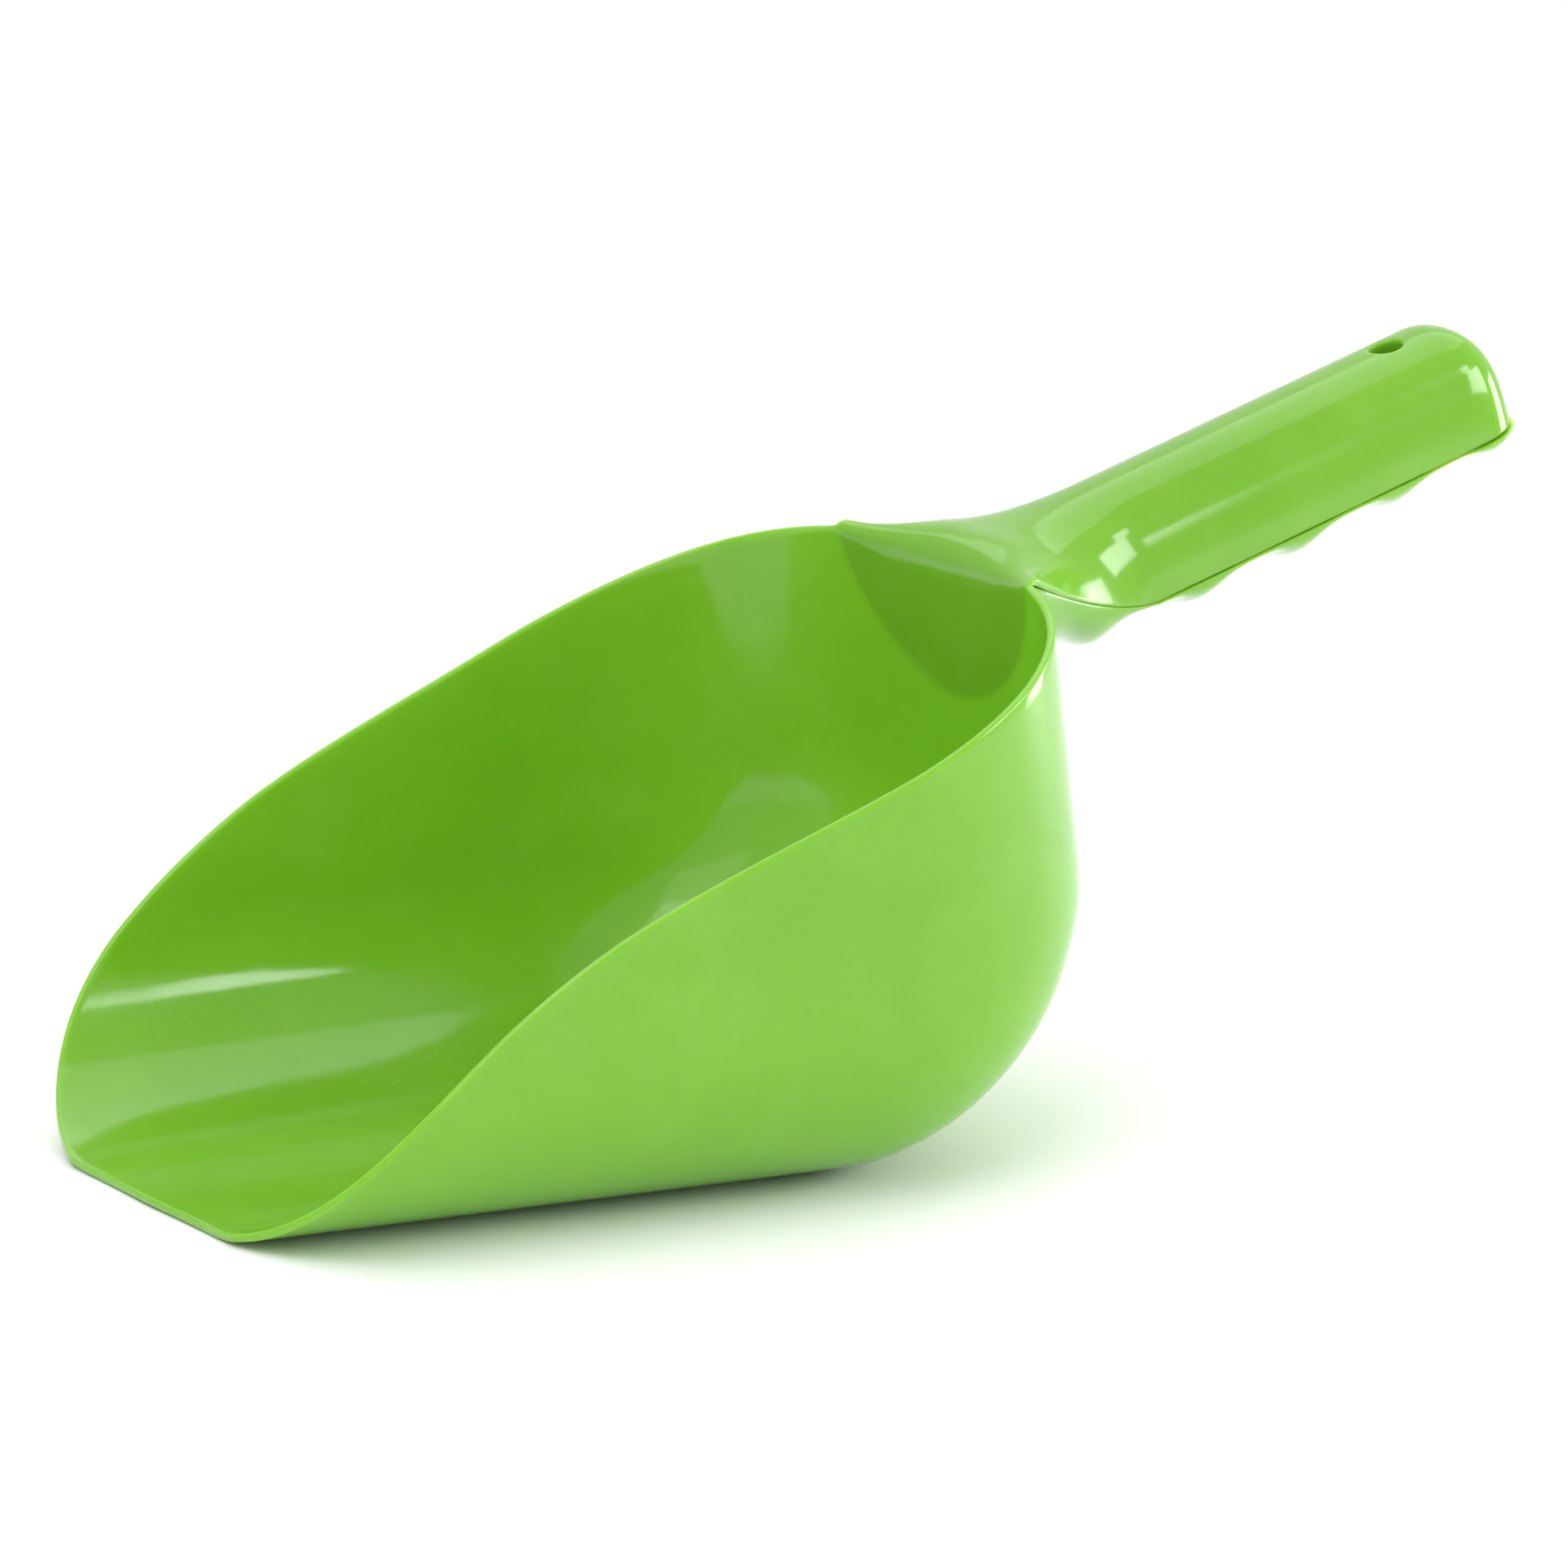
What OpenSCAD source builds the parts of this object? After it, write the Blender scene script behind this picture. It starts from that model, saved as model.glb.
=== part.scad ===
// Potting scoop: a deep round-backed bowl whose upper moulding carries on as the top of the handle,
// and a finger-grooved grip shell that closes the handle from below.
// The lip points along -X, the handle rises along +X, and the keel rests on the plane Z = 0.

/* [Bowl] */
// Width of the flat keel at the lip
keel_front_w = 48; // [36:1:56]
// Width of the flat keel where the back starts to close
keel_back_w = 66; // [52:1:76]
// Width of the bowl between its upright sides
bowl_w = 142.5; // [134:0.5:152]
// How much narrower the lip end is, as a part of the bowl's width
lip_taper = 0.12; // [0.05:0.005:0.18]
// Height over which the sides curve up from the keel
side_curve_h = 36.5; // [30:0.5:44]
// Outward draft of the sides, as a slope
side_draft = 0.025; // [0:0.005:0.05]
// Distance from the lip to where the round back starts
back_start = 122; // [116:1:126]
// Length of the round back along the keel
back_foot = 8; // [6:1:14]
// Length of the round back above its curved foot
back_reach = 69; // [66:0.5:72]
// Height over which the back curves up from the keel
back_curve_h = 54; // [46:1:60]
// Fullness of the curve at the foot of the back
back_curve_power = 1.53; // [1.3:0.01:1.7]
// Fullness of the round back seen from above
back_power = 2.75; // [2.4:0.05:3]
// Forward lean of the back, as a slope
back_lean = 0.165; // [0.14:0.005:0.18]
// Wall thickness of the bowl and of the handle's top
wall = 1.6; // [1.4:0.1:2.4]

/* [Rim] */
// Distance from the lip to the end of the rim, where the neck starts
rim_end_x = 170.5; // [168:0.5:172]
// Height of the rim where the neck starts
rim_end_z = 106.5; // [104:0.5:108]
// Distance from the lip to the bend between the rim's two long curves
rim_bend_x = 59.5; // [54:0.5:64]
// Height of the rim at that bend
rim_bend_z = 57.3; // [53:0.1:61]

/* [Handle] */
// Distance from the lip to the point that the handle's axis is measured from
handle_x = 179; // [176:0.5:182]
// Height of the handle's axis at that point
handle_z = 84.8; // [83:0.1:86]
// Angle of the handle above level
handle_tilt = 17.5; // [15:0.5:20]
// Length of the handle from that point to the butt
handle_len = 130; // [124:0.5:136]
// Width of the handle at its seam
handle_w = 28; // [26:0.5:30]
// Height of the handle's dome above the seam
dome_h = 22.5; // [20:0.1:25]
// Length of the rounded butt
butt_round = 13; // [11:0.5:16]
// Inside radius of the fold from the bowl's back into the neck
fold_r = 5; // [4:0.5:8]
// Distance from the lip to where the neck has become the handle
neck_end_x = 213; // [208:1:218]

/* [Grip underside] */
// Depth of the grip shell below the seam in a finger groove, next to the bowl
groove_depth = 0.5; // [0.4:0.1:2]
// Depth of the grip shell below the seam on a ridge between fingers, next to the bowl
ridge_depth = 4.8; // [3.5:0.1:6]
// How much deeper the whole grip shell is half way along the handle
belly = 2.5; // [1:0.1:4]
// Distance from one finger groove to the next
finger_pitch = 24.3; // [23:0.1:25]
// How far the butt of the grip shell stands proud of the dome
ledge = 0.8; // [0.5:0.1:1.5]
// How far the sides of the grip shell stand proud of the dome
side_ledge = 0.3; // [0:0.1:0.5]

/* [Hang hole] */
// Diameter of the hang hole
hang_d = 6.6; // [5:0.1:8]
// Distance along the handle from its measuring point to the hang hole
hang_s = 109; // [106:0.5:111]
// Outside diameter of the tube around the hang hole
hang_tube_d = 11; // [9:0.5:13]

/* [Hidden] */

half_cells = 15;        // cells across half of the scoop
grip_half_cells = 8;    // cells across half of the grip shell
neck_cells = 12;        // cells along the neck
dome_fullness = 0.76;   // 0.55 is an ellipse, 1 is a square
grip_fullness = 0.46;
groove_power = 1.6;     // above 1 the ridges are narrower than the grooves
grip_wall = 2.1;        // wall thickness of the grip shell under its ridges
grip_thin = 0.3;        // least depth of the grip shell's inside below the seam
grip_foot_z = 74.6;     // height where the grip shell's middle meets the back of the bowl
grip_flare = 2;         // how much the grip shell deepens where it meets the bowl
butt_power = 2.4;
edge_speed = 1.3;     // how the neck's sections are spaced along its edges
neck_power = 1.6;      // how fast the neck narrows
neck_rise_power = 1.37;  // how fast the seam drops from the rim to the handle
neck_turn = 0.42;        // how fast the neck's sections become domes
neck_level_x = 187;     // where the crown line turns level towards the bowl
fan_x = 125;            // cross-sections fan about a line above the bowl
fan_z = 168;
skin_gap = 0.1;         // clearance between the two mouldings
tube_gap = 0.2;         // clearance between the hang tube and the grip shell
tube_low = 1;           // how far the hang tube reaches below the seam
bore_seg = 64;
last_butt_f = 0.985;    // the butt ends in a small flat here

along = [cos(handle_tilt), 0, sin(handle_tilt)];
above = [-sin(handle_tilt), 0, cos(handle_tilt)];
inner_w = handle_w / 2 - wall;
inner_h = dome_h - wall;
neck_end_s = (neck_end_x - handle_x) / cos(handle_tilt);
butt_s = handle_len - butt_round;

// General helpers
function unit(v) = v / norm(v);
function mix(a, b, f) = a + (b - a) * f;
function clamp01(f) = max(0, min(1, f));
function ease(f) = let(g = clamp01(f)) g * g * (3 - 2 * g);
function steps(n) = [for (i = [0:n]) i / n];
function bezier(p, f) =
    pow(1 - f, 3) * p[0] + 3 * pow(1 - f, 2) * f * p[1] + 3 * (1 - f) * f * f * p[2] + pow(f, 3) * p[3];
function running_lengths(p) =
    [for (i = 0, d = 0; i < len(p); d = d + (i + 1 < len(p) ? norm(p[i + 1] - p[i]) : 0), i = i + 1) d];
function column(p, d, axis) = [for (i = [0:len(p) - 1]) [d[i], p[i][axis]]];
function even_points(p, cells) =
    let(d = running_lengths(p), total = d[len(d) - 1],
        tx = column(p, d, 0), ty = column(p, d, 1), tz = column(p, d, 2))
    [for (f = steps(cells)) [lookup(total * f, tx), lookup(total * f, ty), lookup(total * f, tz)]];
function curved_foot(z, h, power) = pow(1 - pow(1 - clamp01(z / h), power), 1 / power);

// The bowl's outside: half its width at a distance from the lip and a height
function side_half_w(x, z) =
    let(f = clamp01(x / back_start), keel = mix(keel_front_w, keel_back_w, f) / 2,
        side = bowl_w / 2 * (1 - lip_taper * (1 - f)))
    mix(keel, side, curved_foot(z, side_curve_h, 2)) + side_draft * z;
function back_x(z) = back_start - back_lean * z;
function back_len(z) = mix(back_foot, back_reach, curved_foot(z, back_curve_h, back_curve_power));
function bowl_half_w(x, z) =
    side_half_w(x, z) * pow(1 - pow(clamp01((x - back_x(z)) / back_len(z)), back_power), 1 / back_power);
function back_wall_x(y, z) =
    back_x(z) + back_len(z) * pow(1 - pow(abs(y) / side_half_w(back_start, z), back_power), 1 / back_power);

// The rim, seen from the side, is two Bezier curves from the lip to the neck
rim_a = [[0, 0], [11, 10.8], [19.5, 35.1], [rim_bend_x, rim_bend_z]];
rim_b = [[rim_bend_x, rim_bend_z], [89.3, 72.5], [114.4, 77.3], [rim_end_x, rim_end_z]];
rim_points = concat(
    [for (f = steps(11)) bezier(rim_a, f)],
    [for (f = steps(22)) if (f > 0) bezier(rim_b, 1 - pow(1 - f, 1.9))]);

// One half cross-section of the bowl's outside, from the rim down to the centre line
function fan_way(r) = r[0] <= fan_x ? [0, -1] : unit([r[0] - fan_x, r[1] - fan_z]);
function to_back(r, way, low, high, turns) =
    turns == 0 ? low :
    let(m = (low + high) / 2, x = r[0] + way[0] * m, z = r[1] + way[1] * m)
    x < back_x(z) + back_len(z) ? to_back(r, way, m, high, turns - 1) : to_back(r, way, low, m, turns - 1);
function bowl_half_section(r) =
    let(way = fan_way(r), reach = to_back(r, way, 0, r[1] / -way[1], 30),
        p = [for (f = steps(60)) let(q = r + way * reach * sin(90 * f), z = max(0, q[1]))
             [q[0], -bowl_half_w(q[0], z), z]],
        last = p[len(p) - 1])
    even_points(abs(last[1]) > 0.01 ? concat(p, [[last[0], 0, last[2]]]) : p, half_cells);

// A point of the handle: distance along it, sideways, and above the seam
function on_handle(s, y, n) = [handle_x, 0, handle_z] + s * along + [0, y, 0] + n * above;
function seam_z(x) = handle_z + tan(handle_tilt) * (x - handle_x);

// The neck's centre line goes up the back, over the fold and on to the handle's crown
wall_way = unit([-back_lean, 0, 1]);
crown_z = inner_h / cos(handle_tilt) + handle_z;
fold_corner_z = crown_z + tan(handle_tilt) * (neck_level_x - handle_x);
fold_corner = [back_start + back_reach - back_lean * fold_corner_z, 0, fold_corner_z];
fold_angle = acos(wall_way[0]);
fold_start = fold_corner - wall_way * fold_r * tan(fold_angle / 2);
fold_end = fold_corner + [fold_r * tan(fold_angle / 2), 0, 0];
fold_centre = fold_start + fold_r * [wall_way[2], 0, -wall_way[0]];
function turned(v, a) = [v[0] * cos(a) + v[2] * sin(a), 0, -v[0] * sin(a) + v[2] * cos(a)];
function neck_centre(f) =
    f < 0.5 ? fold_centre + turned(fold_start - fold_centre, 2 * f * fold_angle)
    : let(g = 2 * f - 1, bend = [neck_level_x, 0, fold_corner_z])
        mix(mix(fold_end, bend, g), mix(bend, on_handle(neck_end_s, 0, inner_h), g), g);
function neck_edge(f) =
    let(x = mix(rim_end_x, neck_end_x, pow(f, edge_speed)), g = (neck_end_x - x) / (neck_end_x - rim_end_x),
        w = mix(inner_w, bowl_half_w(rim_end_x, rim_end_z), pow(g, neck_power)))
    [x, -w, seam_z(x) + (rim_end_z - seam_z(rim_end_x)) * pow(g, neck_rise_power)];
function half_curve(edge, a, b, centre, cells) =
    [for (f = steps(cells)) bezier([edge, edge + a, centre + b, centre], f)];

rim_edge = neck_edge(0);
rim_aim = [fold_start[0], rim_edge[1] / 2, fold_start[2]];
dome_up = dome_fullness * inner_h * above;
dome_out = [0, -dome_fullness * inner_w, 0];
neck_sections = [for (f = steps(neck_cells)) if (f > 0) let(g = pow(ease(f), neck_turn))
    half_curve(neck_edge(f), mix((rim_aim - rim_edge) * 2 / 3, dome_up, g),
        mix((rim_aim - fold_start) * 2 / 3, dome_out, g), neck_centre(f), half_cells)];
handle_sections = [for (f = steps(4)) if (f > 0) let(s = mix(neck_end_s, butt_s, f))
    half_curve(on_handle(s, -inner_w, 0), dome_up, dome_out, on_handle(s, 0, inner_h), half_cells)];
function butt_shrink(f) = pow(1 - pow(f * last_butt_f, butt_power), 1 / butt_power);
butt_steps = [for (f = steps(7)) if (f > 0) sin(90 * f)];
butt_sections = [for (f = butt_steps) let(c = butt_shrink(f), s = mix(butt_s, handle_len - wall, f))
    half_curve(on_handle(s, -inner_w * c, 0), dome_up * c, dome_out * c, on_handle(s, 0, inner_h * c), half_cells)];

// Whole sections are mirrored about the middle, and the wall is built on one side of them
function whole(half) = concat(half, [for (i = [len(half) - 2:-1:0]) [half[i][0], -half[i][1], half[i][2]]]);
function facing(g, i, j) =
    let(r = len(g) - 1, c = len(g[0]) - 1,
        du = g[min(i + 1, r)][j] - g[max(i - 1, 0)][j], dv = g[i][min(j + 1, c)] - g[i][max(j - 1, 0)])
    unit(cross(du, dv));
under = [for (s = concat([for (r = rim_points) bowl_half_section(r)],
    neck_sections, handle_sections, butt_sections)) whole(s)];
function over_point(i, j) =
    let(p = under[i][j], q = p + wall * facing(under, i, j)) i == 0 ? [0, p[1], p[2] + wall * 0.8] : q;
over = [for (i = [0:len(under) - 1]) [for (j = [0:len(under[0]) - 1]) over_point(i, j)]];

// A wall between two skins of the same grid, closed at the butt by a small flat
module sheet(top, bottom, top_tip, bottom_tip) {
    rows = len(top);
    cols = len(top[0]);
    count = rows * cols;
    points = concat([for (r = top) each r], [for (r = bottom) each r], [top_tip, bottom_tip]);
    function t(i, j) = i * cols + j;
    function b(i, j) = count + t(i, j);
    tip_t = 2 * count;
    tip_b = 2 * count + 1;
    skins = [for (i = [0:rows - 2], j = [0:cols - 2]) each [
        [t(i, j), t(i, j + 1), t(i + 1, j + 1)], [t(i, j), t(i + 1, j + 1), t(i + 1, j)],
        [b(i, j), b(i + 1, j + 1), b(i, j + 1)], [b(i, j), b(i + 1, j), b(i + 1, j + 1)]]];
    front = [for (j = [0:cols - 2]) each [[t(0, j), b(0, j), b(0, j + 1)], [t(0, j), b(0, j + 1), t(0, j + 1)]]];
    sides = [for (i = [0:rows - 2]) each [
        [t(i, 0), t(i + 1, 0), b(i + 1, 0)], [t(i, 0), b(i + 1, 0), b(i, 0)],
        [t(i, cols - 1), b(i + 1, cols - 1), t(i + 1, cols - 1)],
        [t(i, cols - 1), b(i, cols - 1), b(i + 1, cols - 1)]]];
    e = rows - 1;
    cap = [for (j = [0:cols - 2]) each [[t(e, j), t(e, j + 1), tip_t], [b(e, j), tip_b, b(e, j + 1)]]];
    cap_edge = [[t(e, 0), tip_t, tip_b], [t(e, 0), tip_b, b(e, 0)],
        [t(e, cols - 1), tip_b, tip_t], [t(e, cols - 1), b(e, cols - 1), tip_b]];
    polyhedron(points, concat(skins, front, sides, cap, cap_edge), convexity = 6);
}

// The hang hole runs square to the handle through both mouldings
module across_handle(d, low, high) {
    translate(on_handle(hang_s, 0, low))
        rotate([0, -handle_tilt, 0])
            cylinder(h = high - low, d = d, $fn = bore_seg);
}

module to_origin() {
    translate([-overall_len / 2, 0, 0])
        children();
}

module scoop_body() {
    color("#76B82E")
        to_origin()
            difference() {
                union() {
                    sheet(over, under, on_handle(handle_len, 0, 0), on_handle(handle_len - wall, 0, 0));
                    across_handle(hang_tube_d, -tube_low, dome_h - wall / 2);
                }
                across_handle(hang_d, -ridge_depth - belly - 5, dome_h + 5);
            }
}

// The grip shell's lowest line: a ridge and a groove for each finger, on a shallow belly
function grip_depth(s) =
    mix(groove_depth, ridge_depth, pow(0.5 + 0.5 * cos(360 * s / finger_pitch), groove_power))
    + belly * sin(180 * clamp01(s / handle_len));
function grip_inside(depth) = max(grip_thin, depth - grip_wall);
butt_low = skin_gap + grip_depth(handle_len + ledge) * butt_shrink(1);
overall_len = on_handle(handle_len + ledge, 0, -butt_low)[0];
function proud(s) = mix(side_ledge, ledge, ease((s - (butt_s - 6)) / 8));

// The neck part of the grip shell hangs from the underside of the neck and meets the bowl's back
grip_start_s = (back_wall_x(0, grip_foot_z) - handle_x) / cos(handle_tilt);
first_neck_row = len(rim_points) - 1;
function grip_top_outer(i) =
    let(r = first_neck_row + i, f = ease(i / neck_cells))
    mix(under[r][0], over[r][0], f) - skin_gap * above - [0, side_ledge * ease(3 * f), 0];
function grip_top_inner(i) =
    let(r = first_neck_row + i, f = ease(i / neck_cells))
    grip_top_outer(i) + wall * unit(mix(unit(under[r][2] - under[r][0]), [0, 1, 0], f)) - (1 - f) * 0.6 * above;
function grip_low(i, outer) =
    let(f = i / neck_cells, s = mix(grip_start_s, neck_end_s, pow(f, 1.1)),
        depth = grip_depth(s) + pow(1 - f, 3) * grip_flare)
    on_handle(s, 0, -(outer ? depth : grip_inside(depth)));
function to_wall(p, gap) = [back_wall_x(p[1], p[2]) + gap, p[1], p[2]];
function grip_neck_half(i, outer) =
    let(edge = outer ? grip_top_outer(i) : grip_top_inner(i), low = grip_low(i, outer),
        down = -grip_fullness * (edge[2] - low[2]) * [0, 0, 1],
        side = [0, grip_fullness * edge[1], 0],
        half = half_curve(edge, down, side, low, grip_half_cells))
    i > 0 ? half : [for (p = half) to_wall(p, skin_gap)];
function grip_half(s, c, outer) =
    let(w = (handle_w / 2 + proud(s)) * c - (outer ? 0 : wall),
        h = outer ? grip_depth(s) * c : grip_inside(grip_depth(s) * c))
    half_curve(on_handle(s, -w, -skin_gap), -grip_fullness * h * above, [0, -grip_fullness * w, 0],
        on_handle(s, 0, -skin_gap - h), grip_half_cells);
grip_stations = [for (f = steps(36)) if (f > 0) mix(neck_end_s, butt_s, f)];
function grip_skin(outer) = [for (half = concat(
    [for (i = [0:neck_cells]) grip_neck_half(i, outer)],
    [for (s = grip_stations) grip_half(s, 1, outer)],
    [for (f = butt_steps) grip_half(mix(butt_s, handle_len + ledge - (outer ? 0 : wall), f), butt_shrink(f) *
        (outer ? 1 : 1 + wall / handle_w * f), outer)])) whole(half)];

module grip_underside() {
    color("#6FAF2A")
        to_origin()
            difference() {
                sheet(grip_skin(false), grip_skin(true),
                    on_handle(handle_len + ledge - wall, 0, -skin_gap), on_handle(handle_len + ledge, 0, -skin_gap));
                across_handle(hang_tube_d + 2 * tube_gap, -ridge_depth - belly - 5, 1);
            }
}

scoop_body();
grip_underside();
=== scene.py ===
"""A glossy lime-green potting scoop: one thin moulding for the bowl, neck and handle top, and a grip shell.

Both visible pieces are built here as fine meshes from the same driving sizes as the CAD model. Sizes are in
millimetres, from the lip along the scoop, and become metres in the row frame when a mesh is made.
"""

import math

import bmesh
import bpy
import numpy as np
from mathutils import Matrix, Vector


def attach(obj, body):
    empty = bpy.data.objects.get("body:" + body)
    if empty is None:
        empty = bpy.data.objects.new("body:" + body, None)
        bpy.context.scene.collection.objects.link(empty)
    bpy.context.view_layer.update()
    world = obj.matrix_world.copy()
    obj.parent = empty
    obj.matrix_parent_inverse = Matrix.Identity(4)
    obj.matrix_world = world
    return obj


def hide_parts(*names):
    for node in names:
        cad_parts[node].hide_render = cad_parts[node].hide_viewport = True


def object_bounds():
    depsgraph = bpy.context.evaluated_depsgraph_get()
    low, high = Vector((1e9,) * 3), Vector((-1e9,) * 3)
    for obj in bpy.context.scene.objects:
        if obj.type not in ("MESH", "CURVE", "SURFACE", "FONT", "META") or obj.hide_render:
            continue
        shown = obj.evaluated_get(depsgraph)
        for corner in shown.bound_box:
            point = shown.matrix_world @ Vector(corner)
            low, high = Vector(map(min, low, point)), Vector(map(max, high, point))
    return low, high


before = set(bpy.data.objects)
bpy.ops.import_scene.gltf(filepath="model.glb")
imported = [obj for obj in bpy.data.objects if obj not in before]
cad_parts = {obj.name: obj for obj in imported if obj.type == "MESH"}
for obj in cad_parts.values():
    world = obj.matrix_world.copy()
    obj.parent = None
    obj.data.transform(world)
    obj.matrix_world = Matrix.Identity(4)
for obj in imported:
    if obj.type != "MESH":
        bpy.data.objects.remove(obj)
cad_low, cad_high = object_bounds()

MM = 0.001

# ---- Driving sizes, in millimetres --------------------------------------------------------------

# Bowl
KEEL_FRONT_W = 48.0
KEEL_BACK_W = 66.0
BOWL_W = 142.5
LIP_TAPER = 0.12
SIDE_CURVE_H = 36.5
SIDE_DRAFT = 0.025
BACK_START = 122.0
BACK_FOOT = 8.0
BACK_REACH = 69.0
BACK_CURVE_H = 54.0
BACK_CURVE_POWER = 1.53
BACK_POWER = 2.75
BACK_LEAN = 0.165
WALL = 1.6

# Rim, seen from the side: two Bezier curves from the lip to the neck
RIM_END = (170.5, 106.5)
RIM_BEND = (59.5, 57.3)
RIM_A = np.array([(0, 0), (11, 10.8), (19.5, 35.1), RIM_BEND])
RIM_B = np.array([RIM_BEND, (89.3, 72.5), (114.4, 77.3), RIM_END])

# Handle
HANDLE_X = 179.0
HANDLE_Z = 84.8
HANDLE_TILT = math.radians(17.5)
HANDLE_LEN = 130.0
HANDLE_W = 28.0
DOME_H = 22.5
BUTT_ROUND = 13.0
BUTT_POWER = 2.4
DOME_FULLNESS = 0.76

# Neck: the fold at the top of the bowl's back, then a short level stretch up to NECK_LEVEL_X
FOLD_R = 5.0
NECK_END_X = 213.0
EDGE_SPEED = 1.3
NECK_POWER = 1.6
NECK_RISE_POWER = 1.37
NECK_TURN = 0.42
NECK_LEVEL_X = 187.0
NECK_EDGE_FADE = 1.6

# Grip shell
GROOVE_DEPTH = 0.5
RIDGE_DEPTH = 4.8
GROOVE_POWER = 1.6
BELLY = 2.5
FINGER_PITCH = 24.3
LEDGE = 0.8
SIDE_LEDGE = 0.3
SIDE_LEDGE_FADE = 3.0
LEDGE_START = 6.0
LEDGE_RUN = 8.0
GRIP_FULLNESS = 0.46
GRIP_WALL = 2.1
GRIP_THIN = 0.5
GRIP_FOOT_Z = 74.6
GRIP_FLARE = 2.0
GRIP_FLARE_FADE = 3
GRIP_PACKING = 1.1
SKIN_GAP = 0.1

# Hang hole
HANG_D = 6.6
HANG_S = 109.0
HANG_TUBE_D = 11.0
TUBE_LOW = 1.0
TUBE_EDGE = 0.4
TUBE_WAIST = 8.0
TUBE_GAP = 0.3
HANG_EDGE = 0.9
GRIP_HOLE_EDGE = 0.25
GRIP_MOUTH_W = 0.4
ROOF_GAP = 0.05

# Rounded edges: the rim is a half round and the seam between the mouldings is a fine groove
RIM_ROUND = WALL / 2
SEAM_ROUND = 0.3

# How softly the fold is blended: the reach of the blend at the fold's edges and in its middle, how far
# in from the edges it grows, and the rows before and after the first neck row where it fades in and out
FOLD_SOFT_EDGE = 1.0
FOLD_SOFT_MIDDLE = 2.2
FOLD_SOFT_WIDTH = 16.0
FOLD_ROWS_BEFORE = 34
FOLD_FADE_BEFORE = 12
FOLD_ROWS_AFTER = 12
FOLD_FADE_AFTER = 14
BLEND_SPAN = 2.2
BLEND_SAMPLES = 13

# Mesh fineness: cells across, rows along, and the grid cells cut out round the hang hole
HALF_CELLS = 44
GRIP_HALF_CELLS = 22
EDGE_CELLS = 8
RIM_ROWS = (26, 62)
NECK_ROWS = 30
HANDLE_ROWS = 62
BUTT_ROWS = 16
GRIP_NECK_ROWS = 26
DENSE = 260
RIM_PACKING = 1.9
BODY_HOLE_CELLS = 9
BODY_HOLE_REACH = 7.3
GRIP_HOLE_CELLS = 12
GRIP_HOLE_REACH = 7.6
MOUTH_STEPS = 4

# The bowl's sections fan about this line above it, given by x and z
FAN = (125.0, 168.0)

# The camera: degrees and millimetres, with the focal length as a share of the frame's width
CAMERA_AZIMUTH = 32.76
CAMERA_ELEVATION = 12.67
CAMERA_ROLL = 1.12
FOCAL_SHARE = 5.365
CAMERA_DISTANCE = 1602.0
CAMERA_TARGET = (137.2, 0.0, 64.9)
SENSOR_W = 36.0

# The floor in metres, seen from the camera: half its width, its front and back edges, the radius of the
# curve up at its back, how high it reaches, and how far it lies below the scoop
FLOOR_HALF_W = 3.0
FLOOR_FRONT = -3.0
FLOOR_BACK = 2.2
FLOOR_BEND = 0.8
FLOOR_HIGH = 2.6
FLOOR_DROP = 0.0003

# The soft light boxes: azimuth and elevation in degrees, distance and size in metres, power in watts.
# The overhead and front boxes light the bowl, the lip box and the right boxes make the crisp highlights,
# the strip lights the bowl's back and the fill comes from beside the camera.
WORLD_STRENGTH = 0.7
LIGHT_AIM = (0, 0, 0.07)
LIGHTS = (
    ("overhead_box", 150, 66, 1.7, (2.2, 1.6), 12),
    ("front_box", -65, 58, 1.9, (1.6, 1.2), 13),
    ("lip_box", 42, 33, 1.15, (0.2, 0.15), 0.7),
    ("right_box", 54, 21, 1.15, (0.5, 0.34), 4.2),
    ("right_box_edge", 28, 15, 1.15, (0.08, 0.12), 0.3),
    ("back_strip", 86, 6, 0.75, (0.22, 0.34), 1.6),
    ("camera_fill", -55, 32, 1.9, (1.2, 0.8), 2.5),
)

# Derived values

TAN_TILT = math.tan(HANDLE_TILT)
ALONG = np.array([math.cos(HANDLE_TILT), 0, math.sin(HANDLE_TILT)])
ABOVE = np.array([-math.sin(HANDLE_TILT), 0, math.cos(HANDLE_TILT)])
INNER_W = HANDLE_W / 2 - WALL
INNER_H = DOME_H - WALL
BUTT_S = HANDLE_LEN - BUTT_ROUND
NECK_END_S = (NECK_END_X - HANDLE_X) / math.cos(HANDLE_TILT)
LIP_X = cad_low.x / MM


# ---- General helpers ----------------------------------------------------------------------------


def mix(a, b, f):
    return a + (b - a) * f


def ease(f):
    f = np.clip(f, 0, 1)
    return f * f * (3 - 2 * f)


def unit(v):
    return v / max(np.linalg.norm(v), 1e-12)


def bezier(p, f):
    f = np.atleast_1d(f)[:, None]
    return (1 - f) ** 3 * p[0] + 3 * (1 - f) ** 2 * f * p[1] + 3 * (1 - f) * f * f * p[2] + f**3 * p[3]


def curved_foot(z, height, power):
    return (1 - (1 - np.clip(z / height, 0, 1)) ** power) ** (1 / power)


def spread(points, cells, edge):
    """The same curve as even points, with its first point moved in from the edge by a set length."""
    lengths = np.r_[0, np.cumsum(np.linalg.norm(np.diff(points, axis=0), axis=1))]
    at = np.linspace(edge, lengths[-1], cells + 1)
    return np.stack([np.interp(at, lengths, points[:, k]) for k in range(3)], 1)


def whole(half):
    """A half section and its mirror image, as one row of points."""
    return np.concatenate([half, (half * [1, -1, 1])[-2::-1]])


# ---- The bowl -----------------------------------------------------------------------------------


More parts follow.
